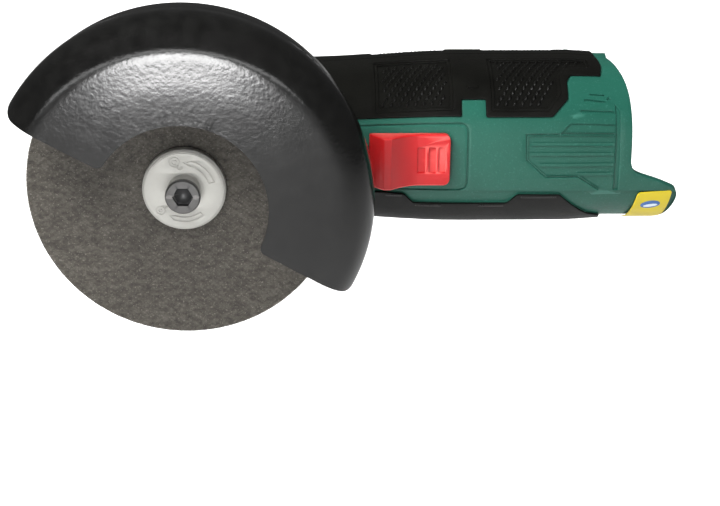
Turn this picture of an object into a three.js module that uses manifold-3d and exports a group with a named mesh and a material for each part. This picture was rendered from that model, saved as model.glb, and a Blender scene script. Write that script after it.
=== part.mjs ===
// Palm-size battery cut-off grinder, in millimetres, +Z up.
// The spindle turns about the Y axis and faces -Y; the motor lies along +X inside a moulded body.
// The origin is on the spindle axis, at the flat back of the gear housing.

import * as THREE from 'three';
import { mergeVertices } from 'three/addons/utils/BufferGeometryUtils.js';
import Module from 'manifold-3d';

const wasm = await Module();
wasm.setup();

// ---------- driving dimensions ----------

const gap = 0.3; // room kept between touching pieces
const motorY = -22.25; // motor axis, behind the disc

const body = { start: 27.3, end: 127, wall: 2.2, sides: 36, power: 2.6 };
const head = { radius: 21, back: 0, front: -41.2, end: 27, cavity: 16.2, cavityBack: -9 };
const plate = { front: -44.5, collar: 15, collarFront: -63 };
const disc = { radius: 38, front: -67.5, thick: 1, bore: 5 };
const flange = { radius: 10, thick: 3.4, edge: 0.7, hub: 3.9, hubHigh: 3.7, fillet: 0.8, bore: 2.8 };
const screwHead = { radius: 4.2, front: -76.5, hex: 2.3 };
const guard = {
  radius: 45.3,
  rearRadius: 44.6,
  front: -87.5,
  seam: -76.5,
  rear: -62,
  sheet: 1.5,
  shoulder: 8.5,
  rearCorner: 3,
  cutOut: 20.4,
  cutAngle: -29,
  clampAngle: 241,
};
const gears = { crownTeeth: 29, pinionTeeth: 10, crownRadius: 15, inner: 0.74 };
const slider = {
  from: 45.6, to: 66.3, halfWidth: 6.75, low: 2, high: 6, travel: 5.5, neckFrom: 50, neckTo: 59.6, neckHalf: 3,
};
const lock = { y: -31, pin: 1.5, button: 5.2, travel: 3, rest: 26.2, boss: 7.5, bossTop: 23 };
const bay = { floor: 66, floorThick: 2, bladeEnd: 75 };
const motor = { stator: 16.5, from: 33.5, to: 48.5, rotor: 8.8, shaft: 2.5, tail: 56 };
const shellScrews = [[57.5, 16], [57.5, -16], [101, 17], [101, -17]];
const shellScrew = { shank: 1.25, head: 1.9, recess: 2.2, boss: 3.2, floor: -11 };
const plateScrewCircle = 18.4;

// ---------- finishes ----------

const finish = (color, roughness, metalness) => new THREE.MeshStandardMaterial({ color, roughness, metalness });
const green = finish(0x1d5a45, 0.5, 0);
const rubber = finish(0x1c1e1d, 0.85, 0);
const red = finish(0xd31f28, 0.35, 0);
const blackSteel = finish(0x101112, 0.35, 0.4);
const castMetal = finish(0x1a1c1e, 0.6, 0.5);
const steel = finish(0xb4b4b0, 0.35, 1);
const darkSteel = finish(0x2b2c2e, 0.4, 0.9);
const abrasive = finish(0x3a3735, 0.95, 0);
const copper = finish(0xb0652d, 0.4, 0.9);
const plastic = finish(0x222425, 0.6, 0);
const boardGreen = finish(0x1f5132, 0.6, 0);
const brass = finish(0xc9a24a, 0.35, 1);
const yellow = finish(0xf2df1e, 0.5, 0);

const grinder = new THREE.Group();

// ---------- solids ----------

function solid(geometry) {
  const bare = geometry.index ? geometry.toNonIndexed() : geometry.clone();
  bare.deleteAttribute('normal');
  bare.deleteAttribute('uv');
  const merged = mergeVertices(bare, 1e-4);
  return new wasm.Manifold(new wasm.Mesh({
    numProp: 3,
    vertProperties: new Float32Array(merged.attributes.position.array),
    triVerts: new Uint32Array(merged.index.array),
  }));
}

const cut = (whole, ...tools) => tools.reduce((left, tool) => left.subtract(tool), whole);
const join = (first, ...others) => others.reduce((sum, other) => sum.add(other), first);
const common = (first, ...others) => others.reduce((left, other) => left.intersect(other), first);

function geometryOf(shape) {
  const result = shape.getMesh();
  const geometry = new THREE.BufferGeometry();
  geometry.setAttribute('position', new THREE.BufferAttribute(new Float32Array(result.vertProperties), 3));
  geometry.setIndex(new THREE.BufferAttribute(new Uint32Array(result.triVerts), 1));
  geometry.computeVertexNormals();
  return geometry;
}

function addPart(name, shape, material) {
  const mesh = new THREE.Mesh(geometryOf(shape), material);
  mesh.name = name;
  grinder.add(mesh);
}

// A box from its lowest to its highest corner.
function block(low, high) {
  const size = high.map((value, axis) => value - low[axis]);
  const middle = high.map((value, axis) => (value + low[axis]) / 2);
  return solid(new THREE.BoxGeometry(...size).translate(...middle));
}

// A closed profile of [radius, y] turned about the spindle axis.
function turned(profile, sides = 28) {
  const points = profile.map(([radius, y]) => new THREE.Vector2(radius, y));
  return solid(outward(new THREE.LatheGeometry([...points, points[0]], sides)));
}

// The same about the motor axis, from [radius, x].
function turnedOnMotor(profile, sides = 28) {
  const points = profile.map(([radius, x]) => new THREE.Vector2(radius, x));
  const ring = outward(new THREE.LatheGeometry([...points, points[0]], sides));
  return solid(ring.rotateZ(-Math.PI / 2).translate(0, motorY, 0));
}

// Turns a closed geometry's faces outwards, whichever way its profile ran.
function outward(geometry) {
  const place = geometry.attributes.position;
  const index = geometry.index.array;
  const corner = [new THREE.Vector3(), new THREE.Vector3(), new THREE.Vector3()];
  let volume = 0;
  for (let i = 0; i < index.length; i += 3) {
    corner.forEach((point, k) => point.fromBufferAttribute(place, index[i + k]));
    volume += corner[0].dot(corner[1].clone().cross(corner[2]));
  }
  if (volume < 0) geometry.index.array.reverse();
  return geometry;
}

const ring = (inner, outer, low, high, sides) => turned(
  [[inner, low], [outer, low], [outer, high], [inner, high]], sides);
const rod = (radius, low, high, sides = 16) => turned([[0, low], [radius, low], [radius, high], [0, high]], sides);
const motorRing = (inner, outer, from, to, sides) => turnedOnMotor(
  [[inner, from], [outer, from], [outer, to], [inner, to]], sides);

// An outline in X and Z carried along Y.
function slab(outline, low, high) {
  const shape = outline instanceof THREE.Shape ? outline : new THREE.Shape(outline);
  const thick = new THREE.ExtrudeGeometry(shape, { depth: high - low, bevelEnabled: false, curveSegments: 5 });
  return solid(thick.rotateX(Math.PI / 2).translate(0, high, 0));
}

const points = (pairs) => pairs.map(([x, z]) => new THREE.Vector2(x, z));

// Moves every edge of an outline outwards by a distance, or inwards by a negative one.
function grown(pairs, distance) {
  const outline = points(pairs);
  const side = THREE.ShapeUtils.area(outline) > 0 ? distance : -distance;
  return outline.map((here, i) => {
    const before = outline[(i + outline.length - 1) % outline.length];
    const after = outline[(i + 1) % outline.length];
    const arriving = here.clone().sub(before).normalize();
    const leaving = after.clone().sub(here).normalize();
    const normalA = new THREE.Vector2(arriving.y, -arriving.x);
    const normalB = new THREE.Vector2(leaving.y, -leaving.x);
    const miter = normalA.add(normalB).normalize();
    return here.clone().addScaledVector(miter, side / miter.dot(normalB));
  });
}

const along = (x, z, radius, low, high, sides) => rod(radius, low, high, sides).translate([x, 0, z]);

// ---------- the moulded form ----------

const ease = (value, from, to) => THREE.MathUtils.smoothstep(value, from, to);

// Half depth, half height and squareness of the body's section at a station along X.
function bodySection(x) {
  return { depth: 22 + 0.25 * ease(x, 30, 70), height: 19.6 + 2 * ease(x, 30, 70), power: body.power };
}

function headSection(x) {
  const blend = ease(x, 6, head.end);
  return { depth: 22.7 - 0.5 * blend, height: head.radius - 1.3 * blend, power: 6 - 3.4 * blend };
}

// Pushes a cosine or sine out towards the corner of a square.
function squared(value, power) {
  const size = Math.abs(value);
  return size < 1e-6 ? 0 : Math.sign(value) * size ** (2 / power);
}

// A solid bar along X whose section is a rounded square, set out from the surface by "grow".
function form(grow, from, to, section = bodySection, steps = 5) {
  const bar = new THREE.CylinderGeometry(1, 1, to - from, body.sides, steps);
  bar.rotateZ(-Math.PI / 2).translate((from + to) / 2, 0, 0);
  const place = bar.attributes.position;
  for (let i = 0; i < place.count; i += 1) {
    const { depth, height, power } = section(place.getX(i));
    const reach = Math.hypot(place.getY(i), place.getZ(i)) > 0.5 ? 1 : 0;
    const angle = Math.atan2(place.getZ(i), place.getY(i));
    place.setY(i, motorY + reach * (depth + grow) * squared(Math.cos(angle), power));
    place.setZ(i, reach * (height + grow) * squared(Math.sin(angle), power));
  }
  return solid(bar);
}

const halfGap = gap / 2;
const frontHalf = (shape) => common(shape, block([-60, -70, -60], [140, motorY - halfGap, 60]));
const backHalf = (shape) => common(shape, block([-60, motorY + halfGap, -60], [140, 20, 60]));

// Side view of the housing, with the mouth of the battery bay at the right. Only the front half has the
// tongue under the mouth.
function sideOutline(withTongue) {
  const outline = new THREE.Shape();
  outline.moveTo(body.start, -26);
  if (withTongue) {
    outline.lineTo(119, -26);
    outline.lineTo(123.4, -19.8);
    outline.quadraticCurveTo(126, -16.6, 126.8, -12.4);
    outline.quadraticCurveTo(127, -9.2, 123.8, -8);
    outline.lineTo(115.6, -5.2);
    outline.quadraticCurveTo(113.5, -4.4, 113.5, -2.5);
  } else {
    outline.lineTo(113.5, -26);
  }
  outline.lineTo(113.4, 8);
  outline.quadraticCurveTo(113.2, 14, 112.2, 18.6);
  outline.quadraticCurveTo(111.8, 20.2, 110.6, 21.2);
  outline.lineTo(104.5, 21.6);
  outline.lineTo(100, 26);
  outline.lineTo(body.start, 26);
  return outline;
}

const upperGrip = [
  [30, 10.5], [69.4, 10.5], [69.4, 14.4], [75.5, 14.4], [75.5, 10.4], [92.6, 10.4], [96.7, 14.4],
  [96.7, 18.1], [97.9, 19.2], [105.9, 19.4], [106.8, 21], [106.4, 26], [30, 26],
];
const lowerGrip = [
  [30, -26], [109, -26], [107.2, -18.4], [103.6, -17.1], [95.6, -10.4], [84.5, -10.4], [81.8, -13],
  [57.4, -13], [54.8, -10.2], [30, -10],
];

function screwTools() {
  const shanks = shellScrews.map(([x, z]) => along(x, z, shellScrew.shank + gap, -34.5, 5, 8));
  const recesses = shellScrews.map(([x, z]) => along(x, z, shellScrew.recess, shellScrew.floor, 5, 12));
  return [...shanks, ...recesses];
}

function housing() {
  const tube = cut(form(0, body.start, body.end), form(-body.wall, 20, 140));
  const shell = common(tube, slab(sideOutline(true), -60, 20));
  const bosses = shellScrews.map(([x, z]) => common(along(x, z, shellScrew.boss, -37, -3, 12), form(-0.6, 50, 110)));
  const skin = (outline) => common(
    cut(form(3, 25, 130), form(-1.2, 24, 131)), slab(grown(outline, gap), -60, 20));
  const slot = block([slider.neckFrom - slider.travel - gap, -50, -slider.neckHalf - gap],
    [slider.neckTo + gap, -38, slider.neckHalf + gap]);
  const whole = cut(join(shell, ...bosses), skin(upperGrip), skin(lowerGrip), slot, ...screwTools());
  addPart('housing_front', frontHalf(whole), green);
  addPart('housing_back', common(backHalf(whole), slab(sideOutline(false), -60, 20)), green);
}

function grips() {
  const layer = cut(form(0.5, 29, 112), form(-0.9, 28, 113));
  const upper = cut(common(layer, slab(points(upperGrip), -60, 20)), ...screwTools());
  const lower = cut(common(layer, slab(points(lowerGrip), -60, 20)), ...screwTools());
  addPart('grip_front_upper', frontHalf(upper), rubber);
  addPart('grip_back_upper', backHalf(upper), rubber);
  addPart('grip_front_lower', frontHalf(lower), rubber);
  addPart('grip_back_lower', backHalf(lower), rubber);
}

function housingScrews() {
  shellScrews.forEach(([x, z], i) => {
    const low = shellScrew.floor + gap;
    const socket = along(x, z, 1.1, low + 0.9, low + 3, 6);
    const screw = join(along(x, z, shellScrew.head, low, low + 2, 12), along(x, z, shellScrew.shank, -33, low + 0.1, 8));
    addPart(`housing_screw_${i + 1}`, cut(screw, socket), darkSteel);
  });
}

function label() {
  const outline = [[113.2, -20.2], [116, -10.2], [124.6, -9.6], [123.2, -19]];
  const sheet = cut(form(0.6, 110, body.end), form(gap, 109, 128));
  const side = block([100, -60, -40], [130, motorY - 6, 0]);
  addPart('label', common(sheet, slab(points(outline), -60, 20), side), yellow);
}

// ---------- gear head ----------

function noseOutline(end) {
  const outline = new THREE.Shape();
  outline.moveTo(0, -head.radius);
  outline.lineTo(end, -head.radius);
  outline.lineTo(end, head.radius);
  outline.lineTo(0, head.radius);
  outline.absarc(0, 0, head.radius, Math.PI / 2, Math.PI * 1.5, false);
  return outline;
}

const plateScrews = [45, 135, 225, 315].map((degrees) => {
  const angle = THREE.MathUtils.degToRad(degrees);
  return [plateScrewCircle * Math.cos(angle), plateScrewCircle * Math.sin(angle)];
});

// A rod standing along Z.
const upright = (x, y, radius, low, high, sides) => rod(radius, low, high, sides)
  .rotate([90, 0, 0]).translate([x, y, 0]);

function gearHousing() {
  const edge = 3;
  const nose = new THREE.ExtrudeGeometry(noseOutline(30), {
    depth: 60, bevelThickness: edge, bevelSize: edge, bevelOffset: -edge, bevelSegments: 2, curveSegments: 14,
  });
  nose.rotateX(Math.PI / 2).translate(0, head.back - edge, 0);
  const limits = block([-30, head.front, -30], [head.end, head.back, 30]);
  const shell = common(solid(nose), form(0, -24, 31, headSection, 8), limits);
  const spigot = form(-body.wall - gap, 20, 31);
  const boss = common(upright(0, lock.y, lock.boss, 12, lock.bossTop, 24), block([-9, -40, 12], [9, -20, 24]));
  const hollow = ring(0, head.cavity, -50, head.cavityBack);
  const bearingSeat = rod(6.3, -20, -3.3);
  const shaftHole = motorRing(0, 5.4, 10, 19, 16);
  const motorSeat = motorRing(0, 8.3, 18.6, 26, 20);
  const fanRoom = motorRing(0, 15.5, 24.8, 40, 28);
  const buttonWell = upright(0, lock.y, lock.button + 0.4, lock.bossTop - 4, 30, 20);
  const pinHole = upright(0, lock.y, lock.pin + gap, 10, 30, 10);
  const threads = plateScrews.map(([x, z]) => along(x, z, 1.25 + gap, -60, -33.5, 8));
  const whole = cut(join(shell, spigot, boss), hollow, bearingSeat, shaftHole, motorSeat, fanRoom,
    buttonWell, pinHole, ...threads);
  addPart('gear_housing', whole, castMetal);
}

function bearingPlate() {
  const sheet = slab(noseOutline(20), plate.front, head.front - gap);
  const collar = ring(0, plate.collar, plate.collarFront, plate.front + 1);
  const bearingRoom = rod(11.3, -70, -52.7, 28);
  const spindleHole = rod(6, -60, -30, 20);
  const holes = plateScrews.map(([x, z]) => along(x, z, 1.25 + gap, -60, -33.5, 8));
  addPart('bearing_plate', cut(join(sheet, collar), bearingRoom, spindleHole, ...holes), castMetal);
  plateScrews.forEach(([x, z], i) => {
    const low = plate.front - gap;
    const screw = join(along(x, z, 2.2, low - 1.6, low, 12), along(x, z, 1.25, low - 0.1, -35, 8));
    addPart(`plate_screw_${i + 1}`, cut(screw, along(x, z, 1, low - 3, low - 0.7, 6)), darkSteel);
  });
}

function spindleLock() {
  const top = lock.rest;
  const button = cut(
    upright(0, lock.y, lock.button, top - 4, top, 20),
    upright(0, lock.y, 3.7, top - 6, top - 1.6, 16),
    upright(0, lock.y, lock.pin + gap, top - 6, top - 0.9, 10),
  );
  addPart('lock_button', button, plastic);
  addPart('lock_pin', upright(0, lock.y, lock.pin, 16, top - 1.2, 10), steel);
  const turns = 3;
  const low = lock.bossTop - 3.5;
  const high = top - 2.2;
  class Coil extends THREE.Curve {
    getPoint(t) {
      const angle = t * turns * 2 * Math.PI;
      return new THREE.Vector3(2.6 * Math.cos(angle), lock.y + 2.6 * Math.sin(angle), low + (high - low) * t);
    }
  }
  const wire = new THREE.Shape().absarc(0, 0, 0.3, 0, 2 * Math.PI, false);
  const coil = new THREE.ExtrudeGeometry(wire, { extrudePath: new Coil(), steps: turns * 10, curveSegments: 2 });
  addPart('lock_spring', solid(coil), steel);
}

// ---------- spindle and bevel pair ----------

// One straight bevel tooth, tapering to the point where the two axes cross.
function bevelTooth({ pitch, normal, rise, sink, tipHalf, rootHalf }) {
  const corners = [];
  [gears.inner, 1].forEach((scale) => {
    [[-sink, rootHalf], [rise, tipHalf]].forEach(([height, half]) => {
      [-half, half].forEach((side) => {
        corners.push([(pitch[0] + normal[0] * height) * scale, (pitch[1] + normal[1] * height) * scale, side * scale]);
      });
    });
  });
  const faces = [0, 2, 1, 1, 2, 3, 4, 5, 6, 5, 7, 6, 0, 1, 4, 1, 5, 4, 2, 6, 3, 3, 6, 7, 0, 4, 2, 2, 4, 6, 1, 3, 5, 3, 7, 5];
  const geometry = new THREE.BufferGeometry();
  geometry.setAttribute('position', new THREE.BufferAttribute(new Float32Array(corners.flat()), 3));
  geometry.setIndex(faces);
  return outward(geometry);
}

const pinionRadius = gears.crownRadius * gears.pinionTeeth / gears.crownTeeth;
const coneLength = Math.hypot(gears.crownRadius, pinionRadius);

function crownGear() {
  const normal = [pinionRadius / coneLength, gears.crownRadius / coneLength];
  const tooth = bevelTooth({
    pitch: [gears.crownRadius, -pinionRadius], normal, rise: 0.75, sink: 1.7, tipHalf: 0.28, rootHalf: 0.95,
  });
  const rootOuter = [gears.crownRadius - 1.2 * normal[0], -pinionRadius - 1.2 * normal[1]];
  const blank = turned([
    [4.8, -13], [8, -13], [8, -11.5], [15.2, -11.5], [15.2, -6.6], rootOuter,
    rootOuter.map((value) => value * gears.inner), [4.8, -4.6],
  ].map(([radius, y]) => [radius, y + motorY]), 29);
  const teeth = [];
  for (let i = 0; i < gears.crownTeeth; i += 1) {
    const angle = (i + 0.5) / gears.crownTeeth * 2 * Math.PI;
    teeth.push(solid(tooth.clone().rotateY(angle).translate(0, motorY, 0)));
  }
  const notches = [0, 90, 180, 270].map((degrees) => block([12, -40, -1.9], [17, -28.7, 1.9]).rotate([0, degrees, 0]));
  addPart('crown_gear', cut(join(blank, ...teeth), ...notches), steel);
}

function pinion() {
  const normal = [-pinionRadius / coneLength, -gears.crownRadius / coneLength];
  const tooth = bevelTooth({
    pitch: [gears.crownRadius, -pinionRadius], normal, rise: 0.85, sink: 1.6, tipHalf: 0.3, rootHalf: 0.9,
  });
  // Profile points are [radius, x] with the root cone falling towards the crossing point.
  const rootOuter = [pinionRadius - 1.1 * gears.crownRadius / coneLength, gears.crownRadius + 1.1 * -normal[0]];
  const blank = turnedOnMotor([
    [2, rootOuter[1] * gears.inner], rootOuter.map((value) => value * gears.inner), rootOuter, [4.6, rootOuter[1] + 0.3], [4.6, 18], [2, 18],
  ], 20);
  const teeth = [];
  for (let i = 0; i < gears.pinionTeeth; i += 1) {
    const angle = i / gears.pinionTeeth * 2 * Math.PI;
    teeth.push(solid(tooth.clone().rotateX(angle).translate(0, motorY, 0)));
  }
  addPart('pinion', join(blank, ...teeth), steel);
}

function spindleParts() {
  const spindle = turned([
    [0, -4.2], [3, -4.2], [3, -25], [4.5, -25], [4.5, -38.2], [5.2, -38.2], [5.2, -52.6], [4, -52.6],
    [4, -62.4], [3.4, -62.4], [3.4, -67], [0, -67],
  ]);
  addPart('spindle', cut(spindle, rod(2.8, -70, -55, 24)), steel);
  addPart('spindle_bearing_front', ring(4.3, 11, -60, -53), steel);
  addPart('spindle_bearing_back', ring(3.3, 6, -8.7, -3.6, 20), steel);
  addPart('gear_ring', cut(ring(4.8, 6.6, -26.4, -25.6, 20), block([-1, -30, 4], [1, -20, 9])), darkSteel);
}

// ---------- disc and its clamping ----------

function discParts() {
  const back = disc.front + disc.thick;
  const seat = back + gap;
  addPart('cutting_disc', ring(disc.bore, disc.radius, disc.front, back, 64), abrasive);
  const backing = turned([
    [3.7, disc.front + gap], [4.7, disc.front + gap], [4.7, seat], [flange.radius, seat],
    [flange.radius, seat + 2.6], [flange.radius - 0.8, seat + 3.4], [3.7, seat + 3.4],
  ]);
  addPart('backing_flange', backing, steel);
  const low = disc.front - gap;
  const face = low - flange.thick;
  const hubTop = face - flange.hubHigh;
  const outer = turned([
    [flange.bore, low], [flange.radius, low], [flange.radius, face + flange.edge], [flange.radius - flange.edge, face],
    [flange.hub + flange.fillet, face], [flange.hub, face - flange.fillet], [flange.hub, hubTop], [flange.bore, hubTop],
  ]);
  addPart('outer_flange', outer, steel);
  const seatFace = hubTop - gap;
  const screw = turned([
    [0, screwHead.front], [screwHead.radius - 0.4, screwHead.front], [screwHead.radius, screwHead.front + 0.4],
    [screwHead.radius, seatFace], [2.5, seatFace], [2.5, -57], [0, -57],
  ], 24);
  const socket = rod(screwHead.hex, screwHead.front - 2, screwHead.front + 2.2, 6);
  addPart('clamp_screw', cut(screw, socket), darkSteel);
}

// ---------- guard ----------

// Keeps the half of a turned shell that lies on the covered side of the cut line.
function coveredHalf(shape) {
  const cover = block([-90, -100, 0], [90, 0, 90]).rotate([0, -guard.cutAngle, 0]);
  return common(shape, cover);
}

function arc(centre, radius, fromDegrees, toDegrees, steps) {
  return Array.from({ length: steps + 1 }, (_, i) => {
    const angle = THREE.MathUtils.degToRad(fromDegrees + (toDegrees - fromDegrees) * i / steps);
    return [centre[0] + radius * Math.cos(angle), centre[1] + radius * Math.sin(angle)];
  });
}

function guardParts() {
  const turn = [guard.radius - guard.shoulder, guard.front + guard.shoulder];
  const inner = guard.shoulder - guard.sheet;
  const front = turned([
    [guard.cutOut, guard.front], ...arc(turn, guard.shoulder, -90, 0, 4), [guard.radius, guard.seam - halfGap],
    [guard.radius - guard.sheet, guard.seam - halfGap], ...arc(turn, inner, 0, -90, 4),
    [guard.cutOut, guard.front + guard.sheet],
  ], 56);
  addPart('guard_front', coveredHalf(front), blackSteel);
  const corner = [guard.rearRadius - guard.rearCorner, guard.rear - guard.rearCorner];
  const plateFront = guard.rear - guard.sheet;
  const hole = plate.collar + 0.4;
  const rear = turned([
    [hole, guard.rear], ...arc(corner, guard.rearCorner, 90, 0, 2), [guard.rearRadius, guard.seam + halfGap],
    [guard.rearRadius - guard.sheet, guard.seam + halfGap],
    ...arc(corner, guard.rearCorner - guard.sheet, 0, 90, 2), [hole, plateFront],
  ], 56);
  addPart('guard_rear', join(coveredHalf(rear), ring(hole, hole + 6, plateFront, guard.rear)), blackSteel);
}

// The band round the collar, with two ears pulled together by a screw.
function guardClamp() {
  const low = -61;
  const high = -52;
  const middle = (low + high) / 2;
  const inner = plate.collar + 0.4;
  const placed = (shape) => shape.rotate([0, -guard.clampAngle, 0]);
  const acrossBand = (radius, from, to, sides) => upright(21.6, middle, radius, from, to, sides);
  const ears = block([inner + 0.5, low, -3.6], [25.2, high, 3.6]);
  const slot = block([10, low - 1, -1.6], [30, high + 1, 1.6]);
  const neck = ring(inner, inner + 2, guard.rear + gap, low + 0.1);
  const band = cut(join(ring(inner, inner + 2, low, high), ears, neck), rod(inner, -70, -40), slot,
    acrossBand(1.8, -10, 10, 10));
  addPart('guard_clamp', placed(band), blackSteel);
  const screw = cut(join(acrossBand(1.5, -8.6, 4, 10), acrossBand(2.9, 3.9, 7, 14)), acrossBand(1.3, 5.4, 9, 6));
  addPart('guard_clamp_screw', placed(screw), steel);
  addPart('guard_clamp_nut', placed(cut(acrossBand(3.1, -6.6, -3.9, 6), acrossBand(1.8, -9, 0, 10))), steel);
}

// ---------- motor ----------

function motorParts() {
  const { stator, from, to, rotor, shaft, tail } = motor;
  const slots = Array.from({ length: 6 }, (_, i) => block([from - 1, -1, 10], [to + 1, 1, 14.4])
    .rotate([i * 60, 0, 0]).translate([0, motorY, 0]));
  addPart('stator', cut(motorRing(rotor + 0.4, stator, from, to), ...slots), steel);
  addPart('stator_winding_front', motorRing(9.6, 15, from - 2.2, from - gap, 24), copper);
  addPart('stator_winding_back', motorRing(9.6, 15, to + gap, to + 3, 24), copper);
  addPart('rotor', motorRing(shaft + gap, rotor, from + 0.5, to - 0.5, 24), steel);
  const shaftShape = turnedOnMotor([[0, 11.2], [1.7, 11.2], [1.7, 18.4], [shaft, 18.4], [shaft, tail], [0, tail]], 16);
  addPart('motor_shaft', shaftShape, steel);
  addPart('motor_bearing_front', motorRing(shaft + gap, 8, 19, 24, 20), steel);
  addPart('motor_bearing_back', motorRing(shaft + gap, 6.5, 52.6, 56, 20), steel);
  const endPlate = cut(motorRing(0, 12.2, 52.3, 58, 24), motorRing(0, 6.8, 50, 56.3, 20), motorRing(0, 3, 50, 60, 12));
  addPart('motor_end_plate', endPlate, castMetal);
  const blades = Array.from({ length: 9 }, (_, i) => block([26.3, -0.5, 4.5], [29.5, 0.5, 14.2])
    .rotate([i * 40, 0, 0]).translate([0, motorY, 0]));
  const hub = join(motorRing(shaft + gap, 5, 25.4, 30, 16), motorRing(4.8, 14.4, 25.4, 26.4, 24));
  addPart('cooling_fan', join(hub, ...blades), plastic);
}

// ---------- switch, board and battery contacts ----------

function switchParts() {
  const { from, to, halfWidth, neckFrom, neckTo, neckHalf, low, high } = slider;
  const under = plate.front - gap;
  const top = new THREE.Shape();
  top.moveTo(from, 0);
  top.lineTo(to, 0);
  top.lineTo(to, low - 0.7);
  top.quadraticCurveTo(to, low, to - 0.8, low);
  top.lineTo(from + 13, low);
  top.quadraticCurveTo(from + 8, low + 0.4, from + 5.2, high);
  top.lineTo(from + 3.6, high);
  top.quadraticCurveTo(from + 0.8, high - 0.6, from, 1);
  const rise = new THREE.ExtrudeGeometry(top, { depth: 2 * halfWidth, bevelEnabled: false, curveSegments: 5 });
  const cap = solid(rise.rotateX(Math.PI).translate(0, under, halfWidth));
  const neck = block([neckFrom, under - 0.5, -neckHalf], [neckTo, -41.9, neckHalf]);
  const grooves = [59.2, 61.4, 63.6].map((x) => block([x, under - 5, -3.4], [x + 1.4, under - 1.5, 3.4]));
  addPart('switch_slider', cut(join(cap, neck), ...grooves), red);
  addPart('switch_bar', block([47.5, -41.6, -5], [58.4, -40.4, 5]), plastic);
  addPart('micro_switch', block([59, -41.4, -5], [65, -35.5, 5]), plastic);
}

function electronics() {
  addPart('controller_board', block([59.4, -34.6, -11.5], [61, -9.5, 11.5]), boardGreen);
  const blade = (z, grow) => block([64.6 - grow, -25.6 - grow, z - 0.5 - grow], [bay.bladeEnd + grow, -18.9 + grow, z + 0.5 + grow]);
  const heights = [-8, 0, 8];
  const floor = cut(form(-body.wall - gap, bay.floor, bay.floor + bay.floorThick, bodySection, 1),
    ...heights.map((z) => blade(z, gap)));
  addPart('bay_floor', floor, plastic);
  heights.forEach((z, i) => addPart(`terminal_${i + 1}`, blade(z, 0), brass));
}

housing();
grips();
housingScrews();
label();
gearHousing();
bearingPlate();
spindleLock();
crownGear();
pinion();
spindleParts();
discParts();
guardParts();
guardClamp();
motorParts();
switchParts();
electronics();

export default grinder;
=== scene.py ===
import math
import bpy
import numpy as np
from mathutils import Matrix, Vector


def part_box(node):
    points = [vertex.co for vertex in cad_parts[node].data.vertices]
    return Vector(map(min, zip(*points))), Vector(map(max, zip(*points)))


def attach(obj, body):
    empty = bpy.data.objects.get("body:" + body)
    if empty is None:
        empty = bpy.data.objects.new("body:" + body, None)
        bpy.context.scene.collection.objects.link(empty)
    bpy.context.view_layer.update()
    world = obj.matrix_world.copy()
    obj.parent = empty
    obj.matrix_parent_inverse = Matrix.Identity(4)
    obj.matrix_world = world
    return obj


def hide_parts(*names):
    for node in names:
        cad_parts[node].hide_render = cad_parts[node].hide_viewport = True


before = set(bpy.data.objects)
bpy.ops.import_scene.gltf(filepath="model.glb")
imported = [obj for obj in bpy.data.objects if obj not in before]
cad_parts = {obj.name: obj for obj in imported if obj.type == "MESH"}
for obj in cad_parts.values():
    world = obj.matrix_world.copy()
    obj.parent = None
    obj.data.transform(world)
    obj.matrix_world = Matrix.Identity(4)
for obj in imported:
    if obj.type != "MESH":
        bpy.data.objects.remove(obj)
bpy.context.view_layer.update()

mm = 0.001
motorY = -22.25   # the motor's axis behind the disc; this and every size below is in mm


def boxOf(node):
    # a node's lowest and highest corners in mm
    return [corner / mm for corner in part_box(node)]


def linked(obj):
    bpy.context.collection.objects.link(obj)
    return obj


def deselectAll():
    if bpy.context.object and bpy.context.object.mode != "OBJECT":
        bpy.ops.object.mode_set(mode="OBJECT")
    bpy.ops.object.select_all(action="DESELECT")


def pick(obj):
    deselectAll()
    obj.select_set(True)
    bpy.context.view_layer.objects.active = obj
    return obj


def editAll(obj, *steps):
    # runs edit mode steps with the whole mesh selected before each
    pick(obj)
    bpy.ops.object.mode_set(mode="EDIT")
    for step in steps:
        bpy.ops.mesh.select_all(action="SELECT")
        step()
    bpy.ops.object.mode_set(mode="OBJECT")
    return obj


def weld(obj, distance=0.002):
    return editAll(obj, lambda: bpy.ops.mesh.remove_doubles(threshold=distance * mm))


def faceOut(obj):
    return editAll(obj, lambda: bpy.ops.mesh.normals_make_consistent(inside=False))


def joinAll(objs, name):
    deselectAll()
    for obj in objs:
        obj.select_set(True)
    bpy.context.view_layer.objects.active = objs[0]
    if len(objs) > 1:
        bpy.ops.object.join()
    joined = bpy.context.object
    joined.name = name
    joined.data.name = name
    return joined


def applyPlace(obj):
    pick(obj)
    bpy.ops.object.transform_apply(location=True, rotation=True, scale=True)
    return obj


def stand(obj, y=0.0, outward=1):
    # a flat plate's y becomes the frame's Z, and its z runs along Y, or against it
    obj.matrix_world = Matrix(((1, 0, 0, 0), (0, 0, outward, y * mm), (0, 1, 0, 0), (0, 0, 0, 1)))
    return faceOut(applyPlace(obj))


def useModifier(obj, kind, **values):
    pick(obj)
    modifier = obj.modifiers.new(kind.title(), kind)
    for key, value in values.items():
        setattr(modifier, key, value)
    bpy.ops.object.modifier_apply(modifier=modifier.name)
    return obj


def bevelEdges(obj, width, degrees=50, segments=2):
    return useModifier(obj, "BEVEL", width=width * mm, segments=segments, limit_method="ANGLE",
                       angle_limit=math.radians(degrees))


def carve(obj, *cutters, operation="DIFFERENCE"):
    for cutter in cutters:
        useModifier(obj, "BOOLEAN", operation=operation, solver="EXACT", object=cutter)
        bpy.data.objects.remove(cutter)
    return obj


def sliceAt(obj, axis, stations):
    # cuts the faces along planes square to one axis
    normal = [0, 0, 0]
    normal[axis] = 1

    def cutAt(station):
        bpy.ops.mesh.bisect(plane_co=[value * station * mm for value in normal], plane_no=normal)
    return editAll(obj, *[lambda at=station: cutAt(at) for station in stations])


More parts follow.
